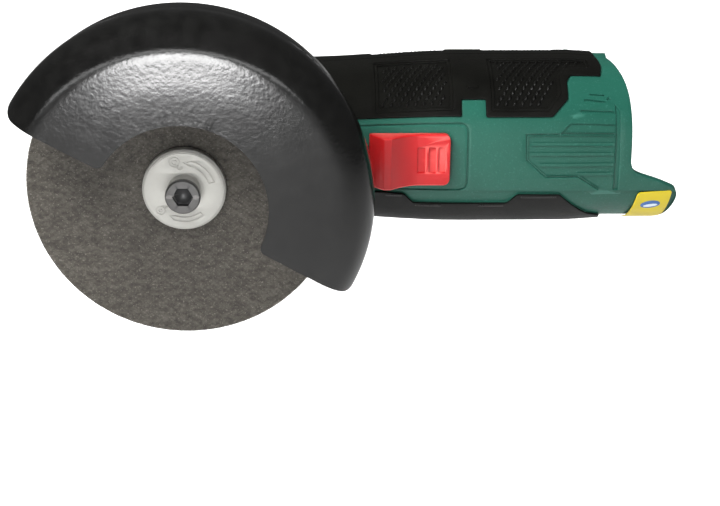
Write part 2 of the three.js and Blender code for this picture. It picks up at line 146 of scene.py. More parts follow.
def cornersOf(obj):
    flat = np.empty(len(obj.data.vertices) * 3)
    obj.data.vertices.foreach_get("co", flat)
    return flat.reshape(-1, 3) / mm


def moveCorners(obj, corners):
    obj.data.vertices.foreach_set("co", (corners * mm).ravel())
    obj.data.update()
    return obj


def rod(radius, low, high, axis="Y", centre=(0, 0, 0), sides=64, turn=0.0):
    # a plain round or many-sided bar, for joining and cutting
    place = list(centre)
    place["XYZ".index(axis)] += (low + high) / 2
    rotation = {"Y": (math.pi / 2, turn, 0), "X": (turn, math.pi / 2, 0), "Z": (0, 0, turn)}[axis]
    bpy.ops.mesh.primitive_cylinder_add(vertices=sides, radius=radius * mm, depth=(high - low) * mm,
                                        location=[value * mm for value in place], rotation=rotation)
    return applyPlace(bpy.context.object)


def finishPiece(obj, name, body, finish, nodes=(), degrees=32):
    obj.name = name
    obj.data.name = name
    obj.data.materials.clear()
    obj.data.materials.append(look[finish])
    pick(obj)
    bpy.ops.object.shade_smooth_by_angle(angle=math.radians(degrees), keep_sharp_edges=True)
    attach(obj, body)
    if nodes:
        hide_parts(*nodes)
    return obj


def spun(name, profile, axis="Y", centre=(0, 0, 0), steps=128, sweep=360.0, start=0.0):
    # a closed profile of (radius, height), turned about an axis through centre
    out, up = Vector((1, 0, 0)), Vector((0, 1, 0) if axis == "Y" else (0, 0, 1))
    middle = Vector(centre) * mm
    turn = Matrix.Rotation(math.radians(start), 3, up)
    curve = bpy.data.curves.new(name, "CURVE")
    curve.dimensions = "3D"
    spline = curve.splines.new("POLY")
    spline.points.add(len(profile) - 1)
    for point, (radius, height) in zip(spline.points, profile):
        point.co = (*(middle + turn @ (out * radius * mm) + up * height * mm), 1)
    spline.use_cyclic_u = True
    pick(linked(bpy.data.objects.new(name, curve)))
    bpy.ops.object.convert(target="MESH")
    obj = bpy.context.object
    bpy.ops.object.mode_set(mode="EDIT")
    bpy.ops.mesh.select_all(action="SELECT")
    if sweep < 360:
        bpy.ops.mesh.edge_face_add()
    bpy.ops.mesh.spin(steps=steps, angle=math.radians(sweep), center=middle, axis=up)
    bpy.ops.object.mode_set(mode="OBJECT")
    return faceOut(weld(obj, 0.0015))


def rounded(profile, radius=0.3, steps=2):
    # fillets the corners of a closed outline; points on the axis stay sharp
    result = []
    count = len(profile)
    for i, corner in enumerate(profile):
        here = Vector(corner)
        before, after = Vector(profile[i - 1]), Vector(profile[(i + 1) % count])
        size = radius[i] if isinstance(radius, (list, tuple)) else radius
        size = min(size, min((before - here).length, (after - here).length) * 0.48)
        if size < 0.02 or corner[0] == 0:
            result.append(tuple(here))
            continue
        first = here + (before - here).normalized() * size
        last = here + (after - here).normalized() * size
        for k in range(steps + 1):
            t = k / steps
            result.append(tuple(first * (1 - t) ** 2 + here * 2 * t * (1 - t) + last * t * t))
    return result


def fillet(corners, radius, steps=4):
    # rounds an outline's corners; a corner is (x, y) or (x, y, its own radius)
    return rounded([c[:2] for c in corners], [c[2] if len(c) > 2 else radius for c in corners], steps)


def arcPoints(centre, radius, first, last, steps):
    return [(centre[0] + radius * math.cos(math.radians(first + (last - first) * k / steps)),
             centre[1] + radius * math.sin(math.radians(first + (last - first) * k / steps)))
            for k in range(steps + 1)]


def rectangle(left, bottom, right, top):
    return [(left, bottom), (right, bottom), (right, top), (left, top)]


def circle(x, y, radius, steps=24):
    return arcPoints((x, y), radius, 0, 360, steps)[:-1]


def shifted(outline, distance):
    # the outline with every edge moved outwards by a distance, or inwards by a negative one
    count = len(outline)
    turning = sum(ax * by - bx * ay for (ax, ay), (bx, by) in zip(outline, outline[1:] + outline[:1]))
    side = distance if turning > 0 else -distance
    moved = []
    for i, corner in enumerate(outline):
        here = Vector(corner)
        arriving = (here - Vector(outline[i - 1])).normalized()
        leaving = (Vector(outline[(i + 1) % count]) - here).normalized()
        normal = Vector((leaving.y, -leaving.x))
        miter = (normal + Vector((arriving.y, -arriving.x))).normalized()
        moved.append(tuple(here + miter * side / max(0.4, miter.dot(normal))))
    return moved


def stroke(path, width):
    # the outline of a groove of one width along an open path
    way = [Vector(p) for p in path]
    left, right = [], []
    for i, here in enumerate(way):
        ahead = way[i + 1] - here if i < len(way) - 1 else here - way[i - 1]
        behind = here - way[i - 1] if i else ahead
        along = (ahead.normalized() + behind.normalized()).normalized()
        across = Vector((-along.y, along.x))
        straight = Vector((-ahead.y, ahead.x)).normalized()
        size = width / 2 / max(0.5, across.dot(straight))
        left.append(tuple(here + across * size))
        right.append(tuple(here - across * size))
    return left + right[::-1]


def closedGroove(outline, width):
    # two loops: the groove's outside, and the island left inside it
    return [shifted(outline, width / 2), shifted(outline, -width / 2)]


def flatPlate(name, loops, low, high, edge, grid=None, wells=(), segments=1):
    # a flat sheet from an outline and its holes, with rounded rims, from z low to high
    curve = bpy.data.curves.new(name, "CURVE")
    curve.dimensions = "2D"
    curve.fill_mode = "BOTH"
    curve.extrude = ((high - low) / 2 - edge) * mm
    curve.bevel_depth = edge * mm
    curve.bevel_resolution = segments
    curve.offset = -edge * mm
    for loop in loops:
        spline = curve.splines.new("POLY")
        spline.points.add(len(loop) - 1)
        for point, (x, y) in zip(spline.points, loop):
            point.co = (x * mm, y * mm, 0, 1)
        spline.use_cyclic_u = True
    obj = linked(bpy.data.objects.new(name, curve))
    obj.location.z = (low + high) / 2 * mm
    pick(obj)
    bpy.ops.object.convert(target="MESH")
    obj = weld(applyPlace(bpy.context.object), 0.004)
    for x, y, radius in wells:
        carve(faceOut(obj), rod(radius, low - 1, high + 1, "Z", (x, y, 0), 32))
    if grid:
        corners = cornersOf(obj)
        for axis in (0, 1):
            first, last = corners[:, axis].min(), corners[:, axis].max()
            sliceAt(obj, axis, np.arange(math.ceil((first + 0.05) / grid) * grid, last, grid))
    return obj


# the moulded body's section: a rounded square that swells along X and tapers at the mouth
bodyShape = {
    "start": 27.3, "power": 2.6, "depth": 22.25, "height": 21.6, "thinner": 2.0, "grow": (30, 70),
    "taper": 0.6, "taperOver": (98, 109), "wall": 2.2, "skin": 0.42, "gripRise": 0.5, "edge": 0.15,
    "grid": 2.0,
}


def ease(value, low, high):
    t = np.clip((value - low) / (high - low), 0, 1)
    return t * t * (3 - 2 * t)


sweepAngles = np.linspace(0, math.pi / 2, 4001)
arcY = bodyShape["depth"] * np.cos(sweepAngles) ** (2 / bodyShape["power"])
arcZ = bodyShape["height"] * np.sin(sweepAngles) ** (2 / bodyShape["power"])
arcLength = np.concatenate([[0], np.cumsum(np.hypot(np.diff(arcY), np.diff(arcZ)))])
quarter = float(arcLength[-1])   # round the section from a side's crest to the parting line


def arcAt(z):
    # distance round the section from the side's crest to a height z
    return float(np.sign(z) * np.interp(abs(z), arcZ, arcLength))


def onSide(points):
    # an outline's heights become distances round the section
    return [(p[0], arcAt(p[1]), *p[2:]) for p in points]


def wrap(obj, mirrored=False):
    # flat (x along, y round the section, z outwards) becomes the body's curved surface
    x, arc, lift = cornersOf(obj).T
    power = bodyShape["power"]
    angle = np.interp(np.minimum(np.abs(arc), quarter), arcLength, sweepAngles)
    grow = ease(x, *bodyShape["grow"])
    depth = bodyShape["depth"] - 0.25 * (1 - grow)
    height = (bodyShape["height"] - bodyShape["thinner"] * (1 - grow)
              - bodyShape["taper"] * ease(x, *bodyShape["taperOver"]))
    unitY, unitZ = np.cos(angle) ** (2 / power), np.sin(angle) ** (2 / power)
    normalY, normalZ = unitY ** (power - 1) / depth, unitZ ** (power - 1) / height
    size = np.hypot(normalY, normalZ)
    out = depth * unitY + lift * normalY / size
    up = np.where(arc < 0, -1.0, 1.0) * (height * unitZ + lift * normalZ / size)
    moveCorners(obj, np.stack([x, motorY + out * (1 if mirrored else -1), up], axis=1))
    if mirrored:
        editAll(obj, lambda: bpy.ops.mesh.flip_normals())
    return obj


def surfaceY(z):
    # how far back the body's back half reaches at a height z
    share = min(1.0, abs(z) / bodyShape["height"]) ** bodyShape["power"]
    return motorY + bodyShape["depth"] * (1 - share) ** (1 / bodyShape["power"])


def put(tree, node, values):
    # plain values are set on a node's inputs, and other nodes' outputs are linked to them
    for key, value in values.items():
        if isinstance(value, bpy.types.NodeSocket):
            tree.links.new(value, node.inputs[key])
        else:
            node.inputs[key].default_value = value
    return node


def newNode(tree, kind, values=None, **settings):
    node = tree.nodes.new("ShaderNode" + kind)
    for key, value in settings.items():
        setattr(node, key, value)
    return put(tree, node, values or {})


def nodeMaker(name):
    material = bpy.data.materials.new(name)
    material.use_nodes = True
    tree = material.node_tree
    return material, tree, tree.nodes["Principled BSDF"], newNode(tree, "TexCoord").outputs["Object"]


def noiseOf(tree, place, scale, detail=4.0, rough=0.55, stretch=None):
    if stretch:
        place = newNode(tree, "Mapping", {"Scale": stretch, "Vector": place}).outputs["Vector"]
    values = {"Scale": scale, "Detail": detail, "Roughness": rough, "Vector": place}
    return newNode(tree, "TexNoise", values).outputs["Fac"]


def ramp(tree, source, stops):
    # stops are (position, grey level or colour)
    colours = newNode(tree, "ValToRGB", {"Fac": source})
    band = colours.color_ramp
    while len(band.elements) < len(stops):
        band.elements.new(0.5)
    for element, (position, colour) in zip(band.elements, stops):
        element.position = position
        element.color = (*colour, 1) if isinstance(colour, tuple) else (colour, colour, colour, 1)
    return colours.outputs["Color"]


mixSockets = {"amount": 0, "first": 6, "second": 7, "result": 2}   # the mix node's colour sockets


def mixOf(tree, kind, first, second, amount=1.0):
    mix = newNode(tree, "Mix", data_type="RGBA", blend_type=kind)
    for key, value in (("amount", amount), ("first", first), ("second", second)):
        put(tree, mix, {mixSockets[key]: (*value, 1) if isinstance(value, tuple) else value})
    return mix.outputs[mixSockets["result"]]


def bumpOf(tree, height, distance, under=None):
    values = {"Distance": distance * mm, "Height": height}
    if under:
        values["Normal"] = under
    return newNode(tree, "Bump", values).outputs["Normal"]


def mathOf(tree, operation, first, second=0.5):
    return newNode(tree, "Math", {0: first, 1: second}, operation=operation).outputs["Value"]


def radiusOf(tree, place, across, centre=(0, 0, 0)):
    # distance from an axis; across has a 0 for the axis' own direction
    mapped = newNode(tree, "Mapping", {"Location": centre, "Scale": across, "Vector": place})
    return newNode(tree, "VectorMath", {0: mapped.outputs["Vector"]}, operation="LENGTH").outputs["Value"]


def grainFinish(name, v):
    # a moulded, painted or cast finish: fine grain, broad mottling, a painted highlight on convex edges and
    # an uneven sheen
    material, tree, shader, place = nodeMaker(name)
    grain = noiseOf(tree, place, v["grain"], 3.0)
    broad = noiseOf(tree, place, v.get("broad", 60), 4.0)
    mottle = v.get("mottle", 0.15)
    dark = tuple(c * (1 - mottle) for c in v["colour"])
    light = tuple(min(1, c * (1 + mottle)) for c in v["colour"])
    colour = ramp(tree, broad, [(0.3, dark), (0.7, light)])
    if v.get("speck"):
        speck = ramp(tree, noiseOf(tree, place, v["speckScale"], 2.0), [(0.60, 0), (0.72, 1)])
        colour = mixOf(tree, "MIX", colour, v["speck"], speck)
    if v.get("edgeHighlight"):
        # convex edges get a lighter colour, a painted highlight, where the noise lets it through
        ridge = newNode(tree, "NewGeometry").outputs["Pointiness"]
        edge = mathOf(tree, "ADD", ridge, mathOf(tree, "MULTIPLY", broad, 0.08))
        colour = mixOf(tree, "MIX", colour, v["edgeHighlight"], ramp(tree, edge, [(0.57, 0), (0.66, 0.8)]))
    rough, spread = v["rough"], v.get("roughSpread", 0.08)
    sheen = ramp(tree, mixOf(tree, "MIX", broad, grain, 0.5), [(0.3, rough - spread), (0.7, rough + spread)])
    normal = bumpOf(tree, grain, v.get("depth", 0.03))
    if v.get("peel"):
        normal = bumpOf(tree, noiseOf(tree, place, v["peel"], 1.5, 0.45), v["peelDepth"], normal)
    put(tree, shader, {
        "Base Color": colour, "Roughness": sheen, "Normal": normal, "Metallic": v.get("metal", 0.0),
        "Specular IOR Level": v.get("specular", 0.5), "Coat Weight": v.get("coat", 0.0),
        "Coat Roughness": 0.2,
    })
    return material


def turnedFinish(name, v):
    # machined metal with fine rings round an axis
    material, tree, shader, place = nodeMaker(name)
    radius = radiusOf(tree, place, v["across"], v.get("centre", (0, 0, 0)))
    wobble = noiseOf(tree, place, 900, 3.0)
    rings = mathOf(tree, "SINE", mathOf(tree, "MULTIPLY", radius, v["rings"]))
    height = mathOf(tree, "ADD", mathOf(tree, "MULTIPLY", rings, 0.35), wobble)
    dark = tuple(c * v.get("dark", 0.82) for c in v["colour"])
    put(tree, shader, {
        "Base Color": ramp(tree, noiseOf(tree, place, 180, 4.0), [(0.3, dark), (0.65, v["colour"])]),
        "Roughness": ramp(tree, wobble, [(0.3, v["rough"] - 0.07), (0.7, v["rough"] + 0.1)]),
        "Metallic": v.get("metal", 1.0), "Normal": bumpOf(tree, height, v["depth"]),
    })
    return material


def discFinish(name, v):
    # resin-bonded grit over a glass mesh, with fibre ends along the rim
    material, tree, shader, place = nodeMaker(name)
    drift = mathOf(tree, "MULTIPLY", noiseOf(tree, place, 160, 3.0), 5.0)
    split = newNode(tree, "SeparateXYZ", {"Vector": place})
    threads = []
    for axis, count in v["mesh"].items():
        across = mathOf(tree, "MULTIPLY", split.outputs[axis], count)
        threads.append(mathOf(tree, "SINE", mathOf(tree, "ADD", across, drift)))
    weave = mathOf(tree, "MULTIPLY", *threads)
    streaks = noiseOf(tree, place, 1000, 4.0, 0.62, (0.75, 1, 1.15))
    grit = noiseOf(tree, place, 2300, 2.0, 0.7)
    base = ramp(tree, streaks, [(0.25, v["dark"]), (0.5, v["colour"]), (0.78, v["light"])])
    tone = ramp(tree, noiseOf(tree, place, 60, 3.0), [(0.3, 0.84), (0.7, 1.0)])
    speck = ramp(tree, grit, [(0.58, 0), (0.76, 0.55)])
    colour = mixOf(tree, "MIX", mixOf(tree, "MULTIPLY", base, tone), v["speck"], speck)
    reach = mathOf(tree, "MULTIPLY", radiusOf(tree, place, (1, 0, 1)), 20.0)
    rim = ramp(tree, reach, [(0.7535, 0), (0.7575, 1)])
    ends = mathOf(tree, "MULTIPLY", rim, ramp(tree, grit, [(0.45, 0), (0.6, 0.9)]))
    colour = mixOf(tree, "MIX", colour, v["fibre"], ends)
    colour = mixOf(tree, "MULTIPLY", colour, ramp(tree, weave, [(0.0, 0.86), (0.8, 1.0)]))
    normal = bumpOf(tree, streaks, 0.2, bumpOf(tree, weave, 0.05))
    put(tree, shader, {
        "Base Color": colour, "Roughness": ramp(tree, grit, [(0.3, 0.62), (0.7, 0.88)]),
        "Specular IOR Level": 0.4, "Normal": bumpOf(tree, grit, 0.06, normal),
    })
    return material


# the lighter edge colours in these finishes are painted highlights on convex edges
finishes = {
    "green": {
        "colour": (0.012, 0.081, 0.057), "rough": 0.44, "grain": 1500, "depth": 0.05, "mottle": 0.1,
        "broad": 45, "specular": 0.42, "speck": (0.026, 0.112, 0.084), "speckScale": 1900,
        "edgeHighlight": (0.04, 0.15, 0.115),
    },
    "rubber": {
        "colour": (0.0040, 0.0040, 0.0034), "rough": 0.52, "grain": 1900, "depth": 0.03, "mottle": 0.25,
        "broad": 120, "specular": 0.28,
    },
    "bumps": {
        "colour": (0.0050, 0.0050, 0.0045), "rough": 0.30, "grain": 2300, "depth": 0.01, "mottle": 0.25,
        "broad": 300,
    },
    "red": {
        "colour": (0.44, 0.009, 0.011), "rough": 0.36, "grain": 2400, "depth": 0.012, "mottle": 0.06,
        "broad": 90, "coat": 0.05, "edgeHighlight": (0.75, 0.10, 0.09),
    },
    "guard": {
        "colour": (0.0040, 0.0040, 0.0038), "rough": 0.175, "grain": 2600, "depth": 0.005, "mottle": 0.3,
        "broad": 300, "peel": 1150, "peelDepth": 0.03, "roughSpread": 0.03,
    },
    "cast": {
        "colour": (0.016, 0.017, 0.018), "rough": 0.52, "grain": 1500, "depth": 0.05, "mottle": 0.25,
        "broad": 90, "metal": 0.25, "edgeHighlight": (0.09, 0.09, 0.09),
    },
    "plastic": {"colour": (0.018, 0.019, 0.020), "rough": 0.5, "grain": 2200, "depth": 0.02, "mottle": 0.2},
    "board": {
        "colour": (0.016, 0.085, 0.036), "rough": 0.45, "grain": 900, "depth": 0.02, "mottle": 0.35,
        "broad": 400,
    },
    "copper": {
        "colour": (0.55, 0.20, 0.07), "rough": 0.35, "grain": 1400, "depth": 0.12, "mottle": 0.2,
        "broad": 700, "metal": 0.9,
    },
    "brass": {
        "colour": (0.62, 0.42, 0.13), "rough": 0.3, "grain": 1800, "depth": 0.008, "mottle": 0.12,
        "metal": 1.0,
    },
    "blackSteel": {
        "colour": (0.028, 0.028, 0.029), "rough": 0.38, "grain": 2100, "depth": 0.01, "mottle": 0.2,
        "metal": 0.6, "edgeHighlight": (0.16, 0.155, 0.15),
    },
    # a painted highlight for the thin brown line along the guard's seam edge
    "seam": {
        "colour": (0.16, 0.105, 0.06), "rough": 0.4, "grain": 1500, "depth": 0.02, "mottle": 0.35,
        "broad": 500, "metal": 0.6,
    },
    "yellow": {"colour": (0.60, 0.47, 0.008), "rough": 0.38, "grain": 1700, "depth": 0.004, "mottle": 0.04},
    "blue": {
        "colour": (0.035, 0.12, 0.36), "rough": 0.35, "grain": 1700, "depth": 0.004, "mottle": 0.12,
        "broad": 900,
    },
    "paleBlue": {
        "colour": (0.62, 0.70, 0.78), "rough": 0.35, "grain": 1700, "depth": 0.004, "mottle": 0.06,
    },
}
turnedFinishes = {
    "steel": {
        "colour": (0.60, 0.60, 0.57), "rough": 0.3, "across": (1, 0, 1), "rings": 21000, "depth": 0.006,
    },
    "shaft": {
        "colour": (0.52, 0.52, 0.51), "rough": 0.28, "across": (0, 1, 1), "centre": (0, -motorY * mm, 0),
        "rings": 18000, "depth": 0.006,
    },
    "flange": {
        "colour": (0.37, 0.365, 0.34), "rough": 0.46, "across": (1, 0, 1), "rings": 26000, "depth": 0.004,
        "metal": 0.25, "dark": 0.93,
    },
}
look = {key: grainFinish(key + "Finish", values) for key, values in finishes.items()}
look.update({key: turnedFinish(key + "Finish", values) for key, values in turnedFinishes.items()})
look["disc"] = discFinish("discFinish", {
    "colour": (0.058, 0.052, 0.043), "dark": (0.022, 0.020, 0.017), "light": (0.105, 0.098, 0.084),
    "speck": (0.27, 0.255, 0.225), "fibre": (0.55, 0.53, 0.48), "mesh": {"X": 4200, "Z": 5200},
})
print("materials done")


# where the rubber meets the green shell above and below, and the rim of the open end with its tongue
upperEdge = onSide([
    (27.6, 10.7), (69.3, 10.5), (69.3, 14.4), (75.5, 14.4), (75.6, 10.3), (92.6, 10.3), (96.7, 14.4),
    (96.8, 18.1), (97.9, 19.2), (105.9, 19.4), (106.8, 21.0),
]) + [(106.5, quarter)]
lowerEdge = onSide([
    (27.6, -9.9), (49.7, -9.9), (54.8, -10.3), (57.4, -13.0), (81.8, -13.0), (84.4, -10.3), (95.5, -10.4),
    (103.7, -17.1), (107.3, -18.4),
]) + [(109.5, -quarter)]
mouthEdge = onSide([
    (113.4, 8.0, 8), (112.9, 15.0, 4), (112.2, 18.5, 3), (111.2, 20.6, 2),
]) + [(109.8, quarter)]
tongueEdge = [(121.5, -quarter, 1)] + onSide([
    (124.3, -19.0, 2), (125.9, -14.5, 3), (126.5, -11.5, 2), (126.0, -9.5, 1.6), (121.5, -7.1, 3),
    (116.6, -5.3, 2), (114.5, -4.2, 1.2), (113.5, -2.2, 1.5),
])

louvres = {
    "groove": 0.5, "floor": -0.33, "right": 108.7,
    "rows": [(14.3, 101.0), (11.7, 99.9), (9.1, 97.4), (6.1, 95.0), (3.5, 87.2), (0.8, 87.2), (-2.1, 90.0),
             (-4.7, 99.8)],
    "outline": [(94.6, 6.0), (86.1, 5.9), (86.3, -0.7), (91.5, -5.4), (100.1, -5.4), (105.5, -9.2)],
    "slant": [(94.6, 6.0), (98.5, 10.9)],
    "top": [(102.5, 15.6), (106.3, 15.6)],
    "strip": [(107.3, 15.3), (110.1, 12.0), (110.6, -9.4), (109.4, -9.4), (109.0, 11.3), (106.6, 14.2)],
    "field": [(100.0, 16.6), (107.6, 16.6), (111.4, 12.5), (111.6, -11.0), (104.0, -11.0), (99.0, -6.6),
              (90.4, -6.6), (84.9, -1.4), (84.9, 7.2), (93.4, 7.2)],
}
panel = {"left": 30.0, "right": 71.1, "top": 8.8, "bottom": -8.9, "radius": 2.4, "groove": 0.42}
slot = {"left": 43.8, "right": 60.2, "half": 3.3}
shellScrews = [(57.5, 16), (57.5, -16), (101, 17), (101, -17)]
shellScrew = {"shank": 1.25, "head": 1.9, "well": 2.2, "boss": 3.2, "floor": -11}


def louvreHoles(mirrored):
    v = louvres
    rows = v["rows"][1:] if mirrored else v["rows"]   # the back half's screw well takes the top row's place
    holes = [stroke(onSide([(left, z), (v["right"], z)]), v["groove"]) for z, left in rows]
    holes += [stroke(onSide(v["outline"]), 0.36), stroke(onSide(v["slant"]), 0.26)]
    if not mirrored:
        holes.append(stroke(onSide(v["top"]), 0.3))
    holes.append(onSide(v["strip"] if not mirrored else v["strip"][1:-1]))
    return holes


def panelGroove():
    v = panel
    corners = [(v["left"], v["top"]), (v["right"], v["top"], v["radius"]),
               (v["right"], v["bottom"], v["radius"]), (v["left"], v["bottom"])]
    return stroke(onSide(fillet(corners, 0, 6)), v["groove"])


def slotHole():
    half = arcAt(slot["half"])
    return rectangle(slot["left"], -half, slot["right"], half)


def screwWells(mirrored, top=None):
    if not mirrored:
        return []
    return [(x, arcAt(z), shellScrew["well"]) for x, z in shellScrews if top is None or (z > 0) == top]


def screwBosses():
    # the tubes that the shell's screws sink into, seen down their wells
    v = shellScrew
    bosses = []
    for x, z in shellScrews:
        top = surfaceY(abs(z) + 1.5) - 0.9
        profile = [(v["shank"], motorY), (v["boss"], motorY), (v["boss"], top), (v["well"], top),
                   (v["well"], v["floor"]), (v["shank"], v["floor"])]
        bosses.append(spun("screwBoss", profile, centre=(x, 0, z), steps=32))
    return bosses


def makeHousing(name, node, mirrored):
    v = bodyShape
    rim = mouthEdge if mirrored else tongueEdge + mouthEdge
    below = [(113.4, -quarter)] if mirrored else []
    outline = fillet(lowerEdge + below + rim + upperEdge[::-1], 0.35, 3)
    openings = [] if mirrored else [slotHole()]
    grooves = louvreHoles(mirrored) + openings + ([] if mirrored else [panelGroove()])
    wells = screwWells(mirrored)
    # a grooved skin on a plain base, with a raised floor between the louvres; the layers overlap a little
    skin = flatPlate(name, [outline] + grooves, -v["skin"], 0, v["edge"], v["grid"], wells)
    inner = fillet([(v["start"], -quarter + 0.1)] + below + rim + [(v["start"], quarter - 0.1)], 0.3, 3)
    under = 0.03 - v["skin"]
    base = flatPlate(name + "Base", [inner] + openings, -v["wall"], under, 0.1, v["grid"], wells)
    floor = [onSide(louvres["field"])]
    field = flatPlate(name + "Field", floor, under - 0.1, louvres["floor"], 0.02, v["grid"], wells)
    parts = [wrap(part, mirrored) for part in (skin, base, field)]
    whole = joinAll(parts + (screwBosses() if mirrored else []), name)
    return finishPiece(whole, name, "body", "green", [node])


makeHousing("housingFront", "housing_front", False)
makeHousing("housingBack", "housing_back", True)
print("housing done")


# the rubber overmould: sunk pads with tilted bumps, inside a stepped frame
pads = {
    "floor": -0.22, "ledge": 0.14, "ledgeWide": 0.85, "collarWide": 1.3,
    "bumpTop": 0.3, "pitchX": 2.1, "pitchY": 1.5,
    "slant": 0.9, "long": 0.95, "wide": 0.5, "tilt": 24, "top": 31.0,
    "outlines": [
        rectangle(47.4, 12.0, 67.2, 30),
        [
            (77.0, 11.8), (91.7, 11.8), (95.0, 15.2), (95.0, 18.9), (97.0, 20.3), (103.4, 20.6),
            (103.4, 30), (77.0, 30),
        ],
    ],
    "bar": rectangle(70.9, 16.7, 73.7, 17.4), "bumpHalf": (0.85, 1.0), "rowEnds": (1.25, 0.7),
    "columnEnds": (0.9, 0.6), "wellClear": 1.9, "stripHalf": 0.28,
    "strips": [(50.2, 54.2, -10.6), (58.0, 64.6, -13.5), (74.5, 81.0, -13.5), (85.4, 94.6, -10.9)],
}


def inside(point, outline):
    x, y = point
    hit = False
    for (ax, ay), (bx, by) in zip(outline, outline[1:] + outline[:1]):
        if (ay > y) != (by > y) and x < (bx - ax) * (y - ay) / (by - ay) + ax:
            hit = not hit
    return hit


def padOutline(pad):
    return [(x, min(arcAt(z), pads["top"])) for x, z in pad]


def gripBumps(name, outline, wells):
    # one tilted lozenge, copied in slanting rows over a pad
    v = pads
    rise = v["bumpTop"] - v["floor"]
    bpy.ops.mesh.primitive_cone_add(vertices=6, radius1=mm, radius2=0.42 * mm, depth=(rise + 0.1) * mm)
    lozenge = bpy.context.object
    lozenge.scale = (v["wide"], v["long"], 1)
    applyPlace(lozenge)
    lozenge.rotation_euler.z = math.radians(-v["tilt"])
    bevelEdges(applyPlace(lozenge), 0.12, 30, 1)
    shape = lozenge.data
    copies = []
    lows, highs = np.min(outline, axis=0), np.max(outline, axis=0)
    halfX, halfY = v["bumpHalf"]
    (rowLow, rowHigh), (columnLow, columnHigh) = v["rowEnds"], v["columnEnds"]
    for row, y in enumerate(np.arange(lows[1] + rowLow, highs[1] - rowHigh, v["pitchY"])):
        shift = (row * v["slant"]) % v["pitchX"]
        for x in np.arange(lows[0] + columnLow + shift, highs[0] - columnHigh, v["pitchX"]):
            corners = rectangle(x - halfX, y - halfY, x + halfX, y + halfY)
            clear = all(math.hypot(x - wx, y - wy) > radius + v["wellClear"] for wx, wy, radius in wells)
            if clear and all(inside(corner, outline) for corner in corners):
                copy = linked(bpy.data.objects.new(name, shape.copy()))
                copy.location = (x * mm, y * mm, (v["floor"] + rise / 2 - 0.05) * mm)
                copies.append(copy)
    bpy.data.objects.remove(lozenge)
    return applyPlace(joinAll(copies, name))


def makePad(name, pad, mirrored, wells):
    # sunk floor, a ledge round it half-way up, a collar round any screw well, and the bumps
    v = pads
    hole = padOutline(pad)
    low = 0.05 - bodyShape["skin"]
    floor = flatPlate(name, [shifted(hole, 0.3)], low, v["floor"], 0.03, bodyShape["grid"], wells)
    ring = [shifted(hole, 0.25), fillet(shifted(hole, -v["ledgeWide"]), 0.4, 3)]
    ledge = flatPlate(name + "Ledge", ring, low, v["ledge"], 0.15, bodyShape["grid"])
    bumps = gripBumps(name + "Bumps", shifted(hole, -v["ledgeWide"]), wells)
    bumps.data.materials.append(look["bumps"])
    parts = [floor, ledge, bumps]
    for x, y, radius in wells:
        collar = [circle(x, y, radius + v["collarWide"], 32), circle(x, y, radius, 32)]
        parts.append(flatPlate(name + "Collar", collar, low, bodyShape["gripRise"], 0.2))
    return [wrap(part, mirrored) for part in parts]


def makeGrip(name, node, mirrored, upper):
    v = bodyShape
    far = quarter if upper else -quarter
    outline = fillet(list(upperEdge if upper else lowerEdge) + [(27.6, far)], 0.5, 3)
    low = 0.04 - v["skin"]
    wells = screwWells(mirrored, upper)
    holes = [fillet(padOutline(pad), 0.6, 3) for pad in pads["outlines"]] if upper else []
    inPads = [well for well in wells if any(inside(well[:2], hole) for hole in holes)]
    outside = [well for well in wells if well not in inPads]
    plate = flatPlate(name, [outline] + holes, low, v["gripRise"], 0.24, v["grid"], outside)
    parts = []
    for pad, hole in zip(pads["outlines"] if upper else [], holes):
        parts += makePad(name + "Pad", pad, mirrored, [well for well in inPads if inside(well[:2], hole)])
    if upper:
        bar = fillet(onSide(pads["bar"]), 0.3, 3)
        parts.append(wrap(flatPlate(name + "Bar", [bar], 0.3, v["gripRise"] + 0.3, 0.15, 1.0), mirrored))
    else:
        half = pads["stripHalf"]
        for first, last, z in pads["strips"]:
            outline = rectangle(first, arcAt(z) - half, last, arcAt(z) + half)
            strip = flatPlate(name + "Strip", [outline], 0.3, v["gripRise"] + 0.16, 0.12, 1.0)
            strip.data.materials.append(look["bumps"])
            parts.append(wrap(strip, mirrored))
    whole = joinAll([wrap(plate, mirrored)] + parts, name)
    return finishGrip(whole, name, node)


def finishGrip(grip, name, node):
    # the bumps keep their glossier rubber as a second finish
    glossy = [slot.material for slot in grip.material_slots]
    kept = np.zeros(len(grip.data.polygons), dtype=np.int32)
    grip.data.polygons.foreach_get("material_index", kept)
    shiny = np.array([material == look["bumps"] for material in glossy] or [False])
    kept = shiny[np.minimum(kept, len(shiny) - 1)].astype(np.int32)
    finishPiece(grip, name, "body", "rubber", [node])
    grip.data.materials.append(look["bumps"])
    grip.data.polygons.foreach_set("material_index", kept)
    return grip


makeGrip("gripFrontUpper", "grip_front_upper", False, True)
makeGrip("gripFrontLower", "grip_front_lower", False, False)
makeGrip("gripBackUpper", "grip_back_upper", True, True)
makeGrip("gripBackLower", "grip_back_lower", True, False)
print("grips done")


labelShape = {
    "corners": [
        (114.1, -20.5, 0.5), (116.0, -10.2, 1.2), (125.0, -9.6, 0.9), (123.9, -18.6, 1.6),
        (121.3, -20.5, 1),
    ],
    "low": 0.04, "high": 0.24, "oval": (119.9, -14.1), "size": (2.6, 1.5), "tilt": 0.21,
}


def labelOval(name, scale, low, high, lowered=0.0, squash=1.0):
    v = labelShape
    x, y = v["oval"][0], arcAt(v["oval"][1])
    points = []
    for angle in np.linspace(0, 2 * math.pi, 40, endpoint=False):
        across = v["size"][0] * scale * math.cos(angle)
        up = v["size"][1] * scale * squash * math.sin(angle) - lowered
        points.append((x + across * math.cos(v["tilt"]) - up * math.sin(v["tilt"]),
                       y + across * math.sin(v["tilt"]) + up * math.cos(v["tilt"])))
    return wrap(flatPlate(name, [points], low, high, 0.02, 1.0))


